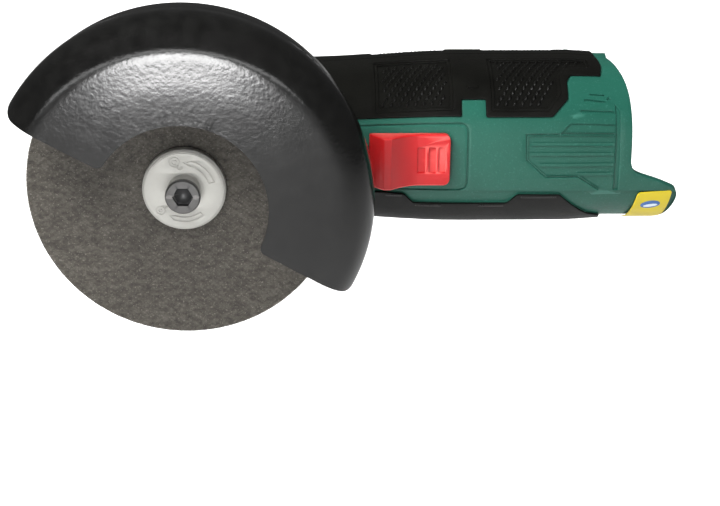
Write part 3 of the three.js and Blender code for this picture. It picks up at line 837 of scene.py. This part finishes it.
def makeLabel():
    # a plain yellow film with a blue oval, both without lettering
    v = labelShape
    outline = fillet(onSide(v["corners"]), 1.0, 5)
    film = wrap(flatPlate("labelFilm", [outline], v["low"], v["high"], 0.06, 1.5))
    finishPiece(film, "labelFilm", "body", "yellow", ["label"])
    ring = labelOval("labelOval", 1.0, 0.18, v["high"] + 0.05)
    finishPiece(ring, "labelOval", "body", "blue")
    pale = labelOval("labelPale", 0.72, 0.2, v["high"] + 0.09, 0.35, 0.55)
    finishPiece(pale, "labelPale", "body", "paleBlue")


makeLabel()


sliderLow, sliderHigh = boxOf("switch_slider")
slider = {
    "from": sliderLow.x, "to": sliderHigh.x, "half": sliderHigh.z, "under": -44.8,
    "corners": (0.5, 1.9, 1.9, 0.5), "low": 2.0, "high": 6.0, "ridge": (49.2, 50.9), "slope": 58.4,
    "toe": 1.2, "thick": 1.0, "rim": 0.28, "recess": 0.5,
    "slots": [(58.0, 59.9), (60.9, 62.6), (63.4, 65.0)], "slotHalf": 3.3, "neck": (50.0, 59.6, 2.4),
    "neckEnd": -41.9,
}


def sliderHeight(x):
    # low by the finger's end, a hollow slope up to the ridge, and a steep fall behind it
    v = slider
    rise = np.clip((v["slope"] - x) / (v["slope"] - v["ridge"][1]), 0, 1)
    fall = np.clip((v["ridge"][0] - x) / (v["ridge"][0] - v["from"]), 0, 1)
    return v["low"] + (v["high"] - v["low"]) * rise ** 1.8 - (v["high"] - v["toe"]) * fall ** 1.25


def sliderLayer(name, loops, sunk, rim):
    v = slider
    plate = flatPlate(name, loops, 0, v["thick"], rim, segments=2)
    sliceAt(plate, 0, sorted(list(np.arange(v["from"] + 0.45, v["slope"], 0.45)) + list(v["ridge"])))
    sliceAt(plate, 1, np.arange(-6, 6.1, 1.5))
    corners = cornersOf(plate)
    lifted = sliderHeight(corners[:, 0]) - sunk - (v["thick"] - corners[:, 2])
    corners[:, 2] = np.where(corners[:, 2] > v["thick"] / 2, lifted, corners[:, 2])
    return stand(moveCorners(plate, corners), v["under"], -1)


def makeSlider():
    v = slider
    corners = rectangle(v["from"], -v["half"], v["to"], v["half"])
    plan = fillet([(*corner, size) for corner, size in zip(corners, v["corners"])], 1, 7)
    half = v["slotHalf"]
    slots = [fillet(rectangle(first, -half, last, half), 0.35, 3) for first, last in v["slots"]]
    cap = sliderLayer("switchSlider", [plan] + slots, 0, v["rim"])
    core = sliderLayer("sliderCore", [shifted(plan, -0.6)], v["recess"], 0.05)
    first, last, half = v["neck"]
    foot = [fillet(rectangle(first, -half, last, half), 0.5, 3)]
    neck = flatPlate("neck", foot, v["under"] - v["neckEnd"], 0.3, 0.1)
    whole = joinAll([cap, core, stand(neck, v["under"], -1)], "switchSlider")
    return finishPiece(whole, "switchSlider", "switch", "red", ["switch_slider"], 26)


makeSlider()
print("switch done")


headShape = {
    "radius": 21.0, "back": 0.0, "front": -41.2, "end": 27.0, "edge": 3.6, "blendFrom": 5, "shrink": 1.3,
    "power": 2.6, "boss": 7.5, "bossFoot": 14, "bossTop": 23.0, "well": 5.6, "wellFloor": 19.0,
    "hollow": 16.2, "hollowBack": -9.0, "sleeve": 15.5, "sleeveFrom": 24.8, "lockY": -31.0,
    "slices": (1.5, 2.0),
}


def blendHead(block):
    # the boxy head runs into the body's rounder section
    v = headShape
    corners = cornersOf(block)
    blend = ease(corners[:, 0], v["blendFrom"], v["end"])
    squeeze = 1 - v["shrink"] * blend / v["radius"]
    across, up = (motorY - corners[:, 1]) / motorY, corners[:, 2] / v["radius"]
    reach = np.maximum(np.hypot(across, up), 1e-6)
    limit = (np.abs(across / reach) ** v["power"] + np.abs(up / reach) ** v["power"]) ** (-1 / v["power"])
    keep = 1 - blend + blend * np.minimum(1.0, limit / np.maximum(reach, limit))
    corners[:, 1] = motorY + (corners[:, 1] - motorY) * keep
    corners[:, 2] = corners[:, 2] * squeeze * keep
    return moveCorners(block, corners)


def makeHead():
    v = headShape
    outline = arcPoints((0, 0), v["radius"], 90, 270, 60)
    outline += [(v["end"] * k / 6, -v["radius"]) for k in range(1, 7)]
    outline += [(v["end"] * k / 6, v["radius"]) for k in range(6, 0, -1)]
    block = stand(flatPlate("gearHead", [outline], v["front"] - 8, v["back"], v["edge"], segments=4))
    along, around = v["slices"]
    sliceAt(block, 0, np.arange(along, v["end"], along))
    sliceAt(block, 2, np.arange(-20, 20.1, around))
    sliceAt(block, 1, np.arange(-40, -2, around))
    limits = flatPlate("limits", [rectangle(-30, -30, 60, 30)], v["front"], 10, 0.01)
    carve(block, stand(limits), operation="INTERSECT")
    blendHead(block)
    lock = (0, v["lockY"], 0)
    carve(block, rod(v["boss"], v["bossFoot"], v["bossTop"], "Z", lock), operation="UNION")
    # the end face steps down to the sleeve that the moulded body grips
    carve(block, rod(v["well"], v["wellFloor"], v["bossTop"] + 7, "Z", lock),
          rod(v["hollow"], v["front"] - 18.8, v["hollowBack"]),
          rod(v["sleeve"], v["sleeveFrom"], v["end"] + 13, "X", (0, motorY, 0)))
    bevelEdges(block, 0.35)
    return finishPiece(block, "gearHead", "body", "cast", ["gear_housing"], 35)


makeHead()
print("head done")


guardLow, guardHigh = boxOf("guard_front")
rearHigh = boxOf("guard_rear")[1]
guard = {
    "radius": 45.3, "rearRadius": 44.1, "front": guardLow.y, "seam": guardHigh.y + 0.15, "rear": rearHigh.y,
    "sheet": 1.5, "shoulder": 8.5, "rearCorner": 3.0, "lip": 20.4, "cut": -29.0, "hole": 15.4, "hub": 21.4,
    "crown": [(17.4, 0.4), (26, 0.175), (31, 0.04), (34.6, 0.04), (35.4, 0)],
    "outerRound": 2.4, "innerRound": 1.7, "edge": 0.6,
}


def cutPlan(radius, lip):
    # the covered half seen along the spindle, with rounded corners where the cut meets the rims
    v = guard
    outer, inner = v["outerRound"], v["innerRound"]
    far = math.sqrt((radius - outer) ** 2 - outer ** 2)
    lean = math.degrees(math.atan2(outer, far))
    side = arcPoints((far, outer), outer, lean, -90, 6)
    if lip:
        near = math.sqrt((lip + inner) ** 2 - inner ** 2)
        side += arcPoints((near, inner), inner, 270, 180 + math.degrees(math.atan2(inner, near)), 6)
    beyond = arcPoints((0, 0), radius + 4, 180 - lean, lean, 30)
    start = math.degrees(math.atan2(side[-1][1], side[-1][0]))
    across = arcPoints((0, 0), lip, start, 180 - start, 90)[1:-1] if lip else []
    plan = side + across + [(-x, y) for x, y in reversed(side)] + beyond
    turn = Matrix.Rotation(math.radians(v["cut"]), 2)
    return [tuple(turn @ Vector(point)) for point in plan]


def trimmed(shell, plan):
    block = stand(flatPlate("plan", [plan], guard["front"] - 3, guard["rear"] + 3, 0.01))
    return carve(shell, block, operation="INTERSECT")


def finishGuard(obj, name, nodes):
    bevelEdges(obj, guard["edge"], 55, 3)
    return finishPiece(obj, name, "guard", "guard", nodes, 40)


def makeGuardFront():
    v = guard
    turn = (v["radius"] - v["shoulder"], v["front"] + v["shoulder"])
    inner = v["shoulder"] - v["sheet"]
    flat = [(radius, v["front"] + dip) for radius, dip in v["crown"]]
    outside = flat + arcPoints(turn, v["shoulder"], -89, 0, 20) + [(v["radius"], v["seam"] - 0.15)]
    inside = [(v["radius"] - v["sheet"], v["seam"] - 0.15)] + arcPoints(turn, inner, 0, -89, 14)
    inside += [(x, y + v["sheet"]) for x, y in reversed(flat)]
    cover = spun("guardFront", outside + inside, steps=190, sweep=190, start=5 - v["cut"])
    trimmed(cover, cutPlan(v["radius"], v["lip"]))
    return finishGuard(cover, "guardFront", ["guard_front"])


def makeGuardRear():
    v = guard
    corner = (v["rearRadius"] - v["rearCorner"], v["rear"] - v["rearCorner"])
    plateFront = v["rear"] - v["sheet"]
    outside = [(v["hole"] + 2, v["rear"])] + arcPoints(corner, v["rearCorner"], 90, 0, 8) + [
        (v["rearRadius"], v["seam"] + 0.15)]
    inside = [(v["rearRadius"] - v["sheet"], v["seam"] + 0.15)] + arcPoints(
        corner, v["rearCorner"] - v["sheet"], 0, 90, 6) + [(v["hole"] + 2, plateFront)]
    rear = spun("guardRear", outside + inside, steps=190, sweep=190, start=5 - v["cut"])
    trimmed(rear, cutPlan(v["rearRadius"], 0))
    hub = rectangle(v["hole"], plateFront, v["hub"], v["rear"])
    carve(rear, spun("guardHub", rounded(hub, 0.3)), operation="UNION")
    finishGuard(rear, "guardRear", ["guard_rear"])
    # a painted highlight: the rear shell's edge along the seam shows as a thin brown line
    rear.data.materials.append(look["seam"])
    for face in rear.data.polygons:
        reach = math.hypot(face.center.x, face.center.z) / mm
        if face.center.y / mm < v["seam"] + 0.7 and reach > v["rearRadius"] - v["sheet"] - 0.2:
            face.material_index = 1


makeGuardFront()
makeGuardRear()
print("guard done")


discLow, discHigh = boxOf("cutting_disc")
flangeLow, flangeHigh = boxOf("outer_flange")
discPart = {
    "radius": discHigh.x, "bore": 5.0, "front": discLow.y, "back": discHigh.y, "edge": 0.2, "nick": 0.07,
    "rings": [12, 16, 20, 24, 28, 32, 35, 37],
}
flangePart = {
    "radius": flangeHigh.x, "low": flangeHigh.y, "face": -71.2, "chamfer": 0.6, "hub": 3.9, "fillet": 0.35,
    "hubTop": flangeLow.y, "bore": 2.8, "skin": 0.28, "skinRadius": 9.25, "line": 0.28,
}
# engraved turning marks: rings as (x, z, radius), bands as (inner, outer, first angle, last angle, tip)
flangeMarks = {
    "rings": [(-2.0, 7.15, 1.2), (-2.0, 7.15, 0.55), (-5.6, -4.9, 1.05), (-5.6, -4.9, 0.4)],
    "bands": [(6.3, 7.6, 17, 75, 88), (6.6, 7.7, 306, 250, 242)],
    "hooks": [(-0.75, 5.85, 0.6, 150, 380), (-4.1, -4.35, 0.45, 60, 220)],
}


def makeDisc():
    v = discPart
    edge = v["edge"]
    profile = [(v["bore"], v["front"])] + [(radius, v["front"]) for radius in v["rings"]]
    profile += [(v["radius"] - edge, v["front"]), (v["radius"], v["front"] + edge),
                (v["radius"], v["back"] - edge), (v["radius"] - edge, v["back"])]
    profile += [(radius, v["back"]) for radius in reversed(v["rings"])] + [(v["bore"], v["back"])]
    disc = spun("cuttingDisc", profile, steps=240)
    # the rim is a little ragged, as pressed grit is
    corners = cornersOf(disc)
    reach = np.hypot(corners[:, 0], corners[:, 2])
    turn = np.arctan2(corners[:, 2], corners[:, 0])
    ragged = 0.5 + 0.5 * np.sin(turn * 97 + 1.7 * np.sin(turn * 41)) * np.cos(turn * 63)
    scale = np.where(reach > v["radius"] - 0.3, 1 - v["nick"] * ragged / v["radius"], 1.0)
    corners[:, 0] *= scale
    corners[:, 2] *= scale
    moveCorners(disc, corners)
    return finishPiece(disc, "cuttingDisc", "spindle", "disc", ["cutting_disc"], 30)


def bandOutline(inner, outer, first, last, tip):
    # a hollow arc that ends in a point
    point = arcPoints((0, 0), (inner + outer) / 2, tip, tip, 1)[:1]
    return arcPoints((0, 0), outer, first, last, 16) + point + arcPoints((0, 0), inner, last, first, 16)


def makeFlange():
    v, marks = flangePart, flangeMarks
    grooves = []
    for x, z, radius in marks["rings"]:
        grooves += closedGroove(circle(x, z, radius, 28), v["line"])
    for band in marks["bands"]:
        grooves += closedGroove(bandOutline(*band), v["line"])
    for x, z, radius, first, last in marks["hooks"]:
        grooves.append(stroke(arcPoints((x, z), radius, first, last, 10), v["line"]))
    skinLoops = [circle(0, 0, v["skinRadius"], 128), circle(0, 0, v["hub"] + v["fillet"] + 0.1, 80)] + grooves
    face = v["face"] + v["skin"]
    skin = stand(flatPlate("flangeFace", skinLoops, 0, v["skin"], 0.03), face, -1)
    profile = [(v["bore"], v["low"]), (v["radius"] - 0.3, v["low"]), (v["radius"], v["low"] - 0.3),
               (v["radius"], face + v["chamfer"] - 0.1), (v["radius"] - 0.4, face + 0.12), (9.45, face)]
    profile += [(v["hub"] + v["fillet"], face)]
    profile += arcPoints((v["hub"] + v["fillet"], face - v["fillet"]), v["fillet"], 90, 180, 5)
    profile += [(v["hub"], v["hubTop"] + 0.15), (v["hub"] - 0.15, v["hubTop"]), (v["bore"], v["hubTop"])]
    whole = joinAll([spun("outerFlange", profile, steps=128), skin], "outerFlange")
    return finishPiece(whole, "outerFlange", "spindle", "flange", ["outer_flange"], 35)


def socketScrew(name, centre, head, seat, top, shank, end, socket, depth):
    # a cap screw along Y; top is the outer face of its head
    sign = 1 if top > seat else -1
    profile = [(0, top), (head - 0.35, top), (head, top - 0.35 * sign), (head, seat), (shank, seat),
               (shank, end + 0.4 * sign), (shank - 0.4, end), (0, end)]
    screw = spun(name, profile, centre=centre, steps=64)
    bottom = top - depth * sign
    low, high = sorted((bottom, top + sign))
    hexagon = rod(socket, low, high, centre=centre, sides=6, turn=math.pi / 6)
    tip = (centre[0] * mm, (bottom - socket * 0.24 * sign) * mm, centre[2] * mm)
    bpy.ops.mesh.primitive_cone_add(vertices=32, radius1=socket * 0.84 * mm, depth=socket * 0.5 * mm,
                                    location=tip, rotation=(math.pi / 2 * sign, 0, 0))
    carve(screw, hexagon, applyPlace(bpy.context.object))
    return screw


def makeClampScrew():
    low, high = boxOf("clamp_screw")
    seat = flangePart["hubTop"] - 0.3
    screw = socketScrew("clampScrew", (0, 0, 0), high.x, seat, low.y, 2.5, high.y, 2.5, 1.9)
    return finishPiece(screw, "clampScrew", "spindle", "blackSteel", ["clamp_screw"], 18)


def makeBackingFlange():
    low, high = boxOf("backing_flange")
    seat = discPart["back"] + 0.3
    profile = rounded([(3.7, low.y), (4.7, low.y), (4.7, seat), (high.x, seat), (high.x, high.y - 0.8),
                       (high.x - 0.8, high.y), (3.7, high.y)], 0.15)
    flange = spun("backingFlange", profile)
    return finishPiece(flange, "backingFlange", "spindle", "steel", ["backing_flange"], 30)


makeDisc()
makeFlange()
makeClampScrew()
makeBackingFlange()
print("disc and flanges done")


collarPart = {"front": -44.5, "back": -41.5, "reach": 20, "collar": 15, "collarFront": -63, "room": 11.3,
              "roomBack": -52.7, "bore": 6, "edge": 0.5}


def makeCollar():
    v = collarPart
    radius = headShape["radius"]
    outline = arcPoints((0, 0), radius, 90, 270, 60) + [(v["reach"], -radius), (v["reach"], radius)]
    plate = stand(flatPlate("bearingPlate", [outline], v["front"], v["back"], v["edge"], segments=2))
    foot = v["front"] + 1
    collar = rounded([(v["room"], v["collarFront"]), (v["collar"], v["collarFront"]), (v["collar"], foot),
                      (v["bore"], foot), (v["bore"], v["roomBack"]), (v["room"], v["roomBack"])], 0.3)
    carve(plate, spun("collar", collar, steps=96), operation="UNION")
    carve(plate, rod(v["bore"], -60, -30, sides=48))
    return finishPiece(plate, "bearingPlate", "body", "cast", ["bearing_plate"], 30)


def makeScrews():
    for i in range(4):
        node = f"plate_screw_{i + 1}"
        low, high = boxOf(node)
        centre = ((low.x + high.x) / 2, 0, (low.z + high.z) / 2)
        screw = socketScrew(f"plateScrew{i + 1}", centre, 2.2, -44.8, low.y, 1.25, high.y, 1.1, 0.9)
        finishPiece(screw, f"plateScrew{i + 1}", "body", "blackSteel", [node], 30)
    for i, (x, z) in enumerate(shellScrews):
        node = f"housing_screw_{i + 1}"
        low, high = boxOf(node)
        screw = socketScrew(f"shellScrew{i + 1}", (x, 0, z), shellScrew["head"], high.y - 2, high.y,
                            shellScrew["shank"], low.y, 1.1, 1.1)
        finishPiece(screw, f"shellScrew{i + 1}", "body", "blackSteel", [node], 30)


def makeButton():
    # a dished cap with a raised rim
    low, high = boxOf("lock_button")
    top, radius = high.z, high.x
    profile = [(0, top - 0.7), (2.6, top - 0.55), (3.6, top - 0.1), (4.1, top), (radius - 0.5, top - 0.15),
               (radius, top - 0.8), (radius, low.z), (3.7, low.z), (3.7, top - 1.6), (0, top - 1.6)]
    button = spun("lockButton", rounded(profile, 0.3, 3), "Z", (0, headShape["lockY"], 0), 64)
    return finishPiece(button, "lockButton", "spindle_lock", "plastic", ["lock_button"], 30)


makeCollar()
makeScrews()
makeButton()
print("fasteners done")


# the CAD nodes that keep their own shape, by finish
carried = {
    "steel": ["spindle", "crown_gear", "spindle_bearing_front", "spindle_bearing_back", "lock_pin",
              "lock_spring", "guard_clamp_screw", "guard_clamp_nut"],
    "shaft": ["pinion", "motor_bearing_front", "motor_bearing_back", "motor_shaft", "stator", "rotor"],
    "guard": ["guard_clamp"],
    "cast": ["motor_end_plate"],
    "blackSteel": ["gear_ring"],
    "copper": ["stator_winding_front", "stator_winding_back"],
    "plastic": ["cooling_fan", "switch_bar", "micro_switch", "bay_floor"],
    "board": ["controller_board"],
    "brass": ["terminal_1", "terminal_2", "terminal_3"],
}
for finish, nodeNames in carried.items():
    for nodeName in nodeNames:
        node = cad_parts[nodeName]
        node.data.materials.clear()
        node.data.materials.append(look[finish])


studio = {
    "floor": -0.072, "glow": 0.7, "backdrop": 1.0, "ambient": 0.07,
    # name: (kind, place, target, size or angle, power, whether glossy pieces mirror it)
    "lights": {
        "key": ("AREA", (-0.011, -0.254, -0.001), (0, -0.09, 0.025), (0.045, 0.03), 0.13, True),
        "strip": ("AREA", (-0.06, -0.60, 0.045), (0.0, 0, 0.0), (0.45, 0.05), 0.4, True),
        "front": ("AREA", (-0.16, -0.22, 0.30), (0.02, -0.03, 0), (0.16, 0.16), 2.5, False),
        "fill": ("AREA", (0.01, -0.16, 0.085), (0.05, -0.04, 0), (0.06, 0.06), 0.14, False),
        "overhead": ("SUN", (0.10, -0.12, 1.0), (0, 0, 0), (0.7, 0), 1.1, False),
        "behind": ("AREA", (-0.1, 0.5, 0.35), (0.03, 0, 0), (0.5, 0.4), 5.5, False),
        "side": ("AREA", (0.6, -0.1, 0.3), (0.1, -0.04, 0), (0.3, 0.3), 0.4, False),
    },
}


def makeStage():
    bpy.ops.mesh.primitive_plane_add(size=6, location=(0, 0, studio["floor"]))
    floor = bpy.context.object
    floor.name = "floor"
    material, tree, shader, place = nodeMaker("floorFinish")
    seen = newNode(tree, "LightPath").outputs["Is Camera Ray"]
    put(tree, shader, {
        "Base Color": ramp(tree, noiseOf(tree, place, 3), [(0.3, 0.62), (0.7, 0.65)]), "Roughness": 0.9,
        "Emission Color": (1, 1, 1, 1), "Emission Strength": mathOf(tree, "MULTIPLY", seen, studio["glow"]),
    })
    floor.data.materials.append(material)


def makeLight(name, kind, place, target, size, power, mirrored):
    data = bpy.data.lights.new(name, kind)
    data.energy = power
    if kind == "SUN":
        data.angle = size[0]
    else:
        data.shape = "RECTANGLE"
        data.size, data.size_y = size
    lamp = linked(bpy.data.objects.new(name, data))
    lamp.location = place
    lamp.rotation_euler = (Vector(target) - Vector(place)).to_track_quat("-Z", "Y").to_euler()
    lamp.visible_glossy = mirrored
    lamp.visible_camera = False


def makeWorld():
    # the camera sees a white backdrop, and the tool gets a weak even light from it
    world = bpy.data.worlds.new("studio")
    world.use_nodes = True
    tree = world.node_tree
    seen = newNode(tree, "LightPath").outputs["Is Camera Ray"]
    limits = {"Value": seen, "To Min": studio["ambient"], "To Max": studio["backdrop"]}
    strength = newNode(tree, "MapRange", limits).outputs["Result"]
    put(tree, tree.nodes["Background"], {"Color": (1, 1, 1, 1), "Strength": strength})
    bpy.context.scene.world = world


cameraView = {"place": (0.0247, -0.4374, 0.1173), "yaw": -2.75, "pitch": 20.0, "roll": 0.59, "lens": 80.05}


def makeCamera():
    v = cameraView
    yaw, pitch, roll = (math.radians(v[key]) for key in ("yaw", "pitch", "roll"))
    ahead = Vector((-math.sin(yaw) * math.cos(pitch), math.cos(yaw) * math.cos(pitch), -math.sin(pitch)))
    right = Vector((math.cos(yaw), math.sin(yaw), 0))
    up = right.cross(ahead)
    across = right * math.cos(roll) + up * math.sin(roll)
    upright = up * math.cos(roll) - right * math.sin(roll)
    data = bpy.data.cameras.new("camera")
    data.lens = v["lens"]
    data.sensor_width = 36
    data.clip_start = 0.01
    camera = linked(bpy.data.objects.new("camera", data))
    camera.matrix_world = Matrix((across, upright, -ahead)).transposed().to_4x4()
    camera.location = v["place"]
    bpy.context.scene.camera = camera


makeStage()
makeWorld()
for lightName, lightValues in studio["lights"].items():
    makeLight(lightName, *lightValues)
makeCamera()
bpy.context.scene.view_settings.view_transform = "Standard"
print("stage done")
